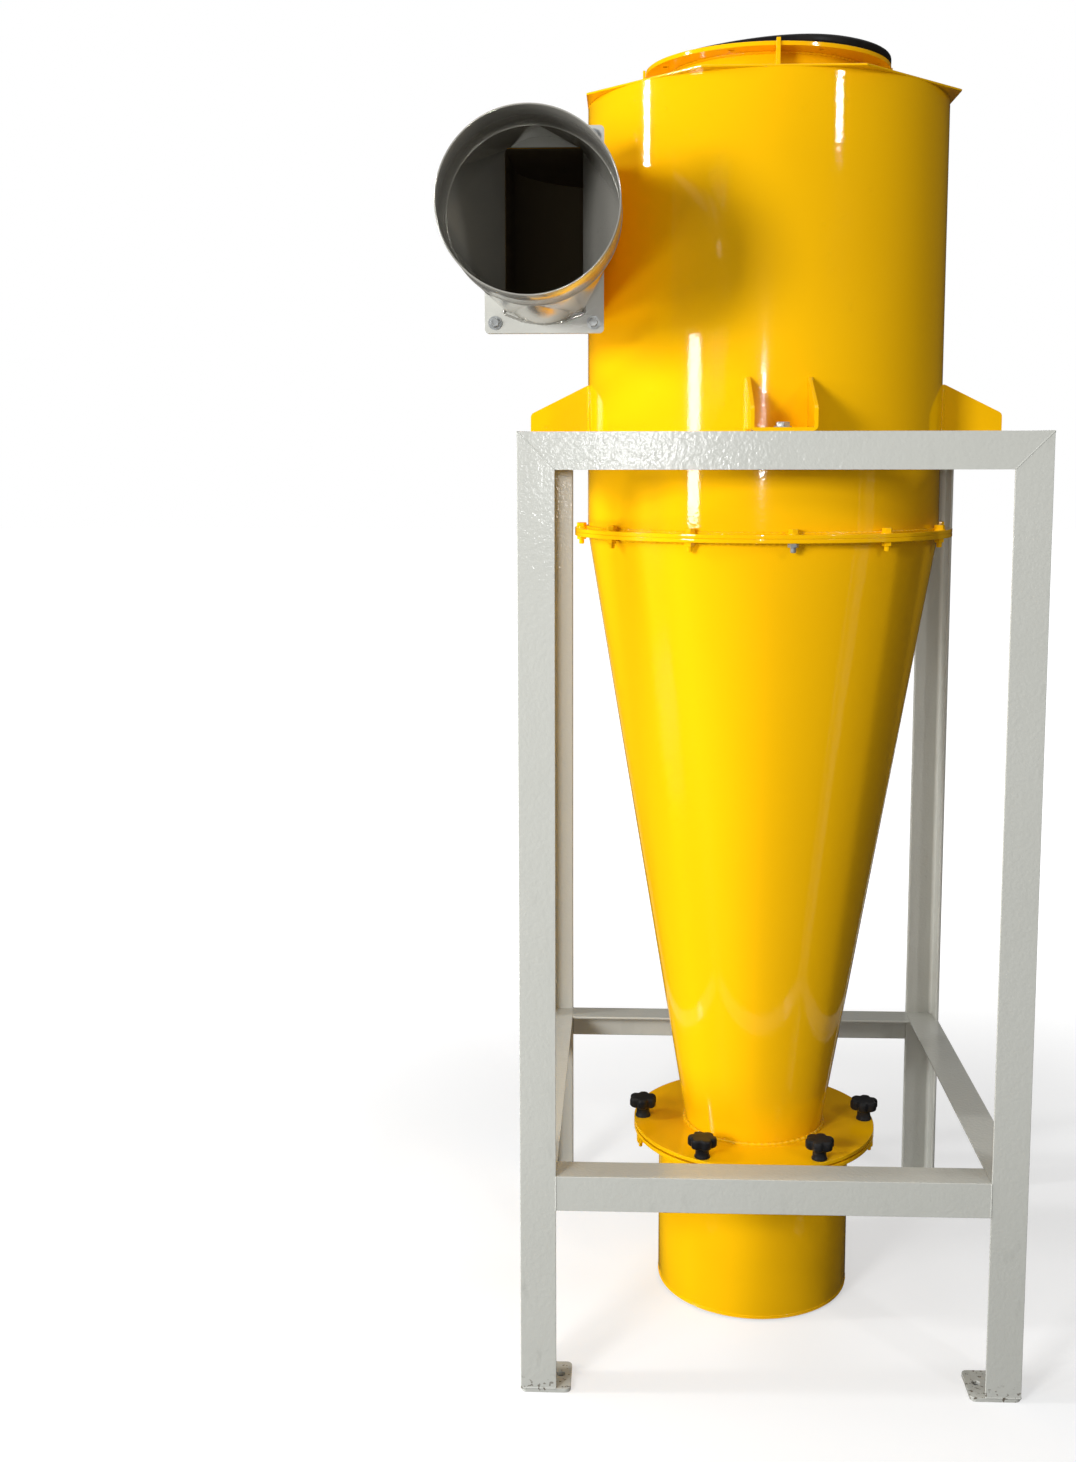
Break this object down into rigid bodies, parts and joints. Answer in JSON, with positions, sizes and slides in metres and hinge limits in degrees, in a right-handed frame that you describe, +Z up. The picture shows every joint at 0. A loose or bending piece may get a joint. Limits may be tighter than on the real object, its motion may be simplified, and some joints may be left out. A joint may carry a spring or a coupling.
{
  "type": "cyclone separator",
  "caption": "Upright cyclone dust separator with a tangential inlet, round inlet spigot, top outlet flange, long cone and a clamped dust bin, carried in a welded angle-iron stand.",
  "frame": {"origin": "on the floor, on the cyclone's axis, at the centre of the four foot plates", "axes": "+Z up along the cyclone's axis, -Y towards the front, where the inlet spigot points"},
  "size_m": [0.782, 0.9, 1.892],
  "materials": {
    "body_paint": "glossy yellow powder coat on sheet steel",
    "stand_paint": "satin light grey paint on steel angle",
    "duct_paint": "gloss mid grey paint on sheet steel",
    "black_plastic": "satin black moulded plastic",
    "black_rubber": "black rubber",
    "zinc_steel": "zinc-plated steel"
  },
  "bodies": {
    "root": {"barrel": "body_paint", "barrel_flange": "body_paint", "bin_bottom": "body_paint", "bin_flange": "body_paint", "bin_seal": "black_rubber", "bracket_back": "body_paint", "bracket_front": "body_paint", "bracket_left": "body_paint", "bracket_right": "body_paint", "clamp_knobs": "black_plastic", "clamp_nuts": "zinc_steel", "cone": "body_paint", "cone_flange": "body_paint", "cone_outlet_flange": "body_paint", "dust_bin": "body_paint", "foot_back_left": "stand_paint", "foot_back_right": "stand_paint", "foot_front_left": "stand_paint", "foot_front_right": "stand_paint", "inlet_flange": "body_paint", "inlet_inner_wall": "body_paint", "inlet_spigot": "duct_paint", "inlet_transition": "duct_paint", "lower_rail_back": "stand_paint", "lower_rail_front": "stand_paint", "lower_rail_left": "stand_paint", "lower_rail_right": "stand_paint", "outlet_flange": "body_paint", "outlet_gasket": "black_rubber", "outlet_gussets": "body_paint", "outlet_pipe": "body_paint", "post_back_left": "stand_paint", "post_back_right": "stand_paint", "post_front_left": "stand_paint", "post_front_right": "stand_paint", "scroll_bottom": "body_paint", "scroll_top": "body_paint", "scroll_wall": "body_paint", "top_plate": "body_paint", "top_rail_back": "stand_paint", "top_rail_front": "stand_paint", "top_rail_left": "stand_paint", "top_rail_right": "stand_paint", "transition_flange": "duct_paint"}
  },
  "joints": []
}
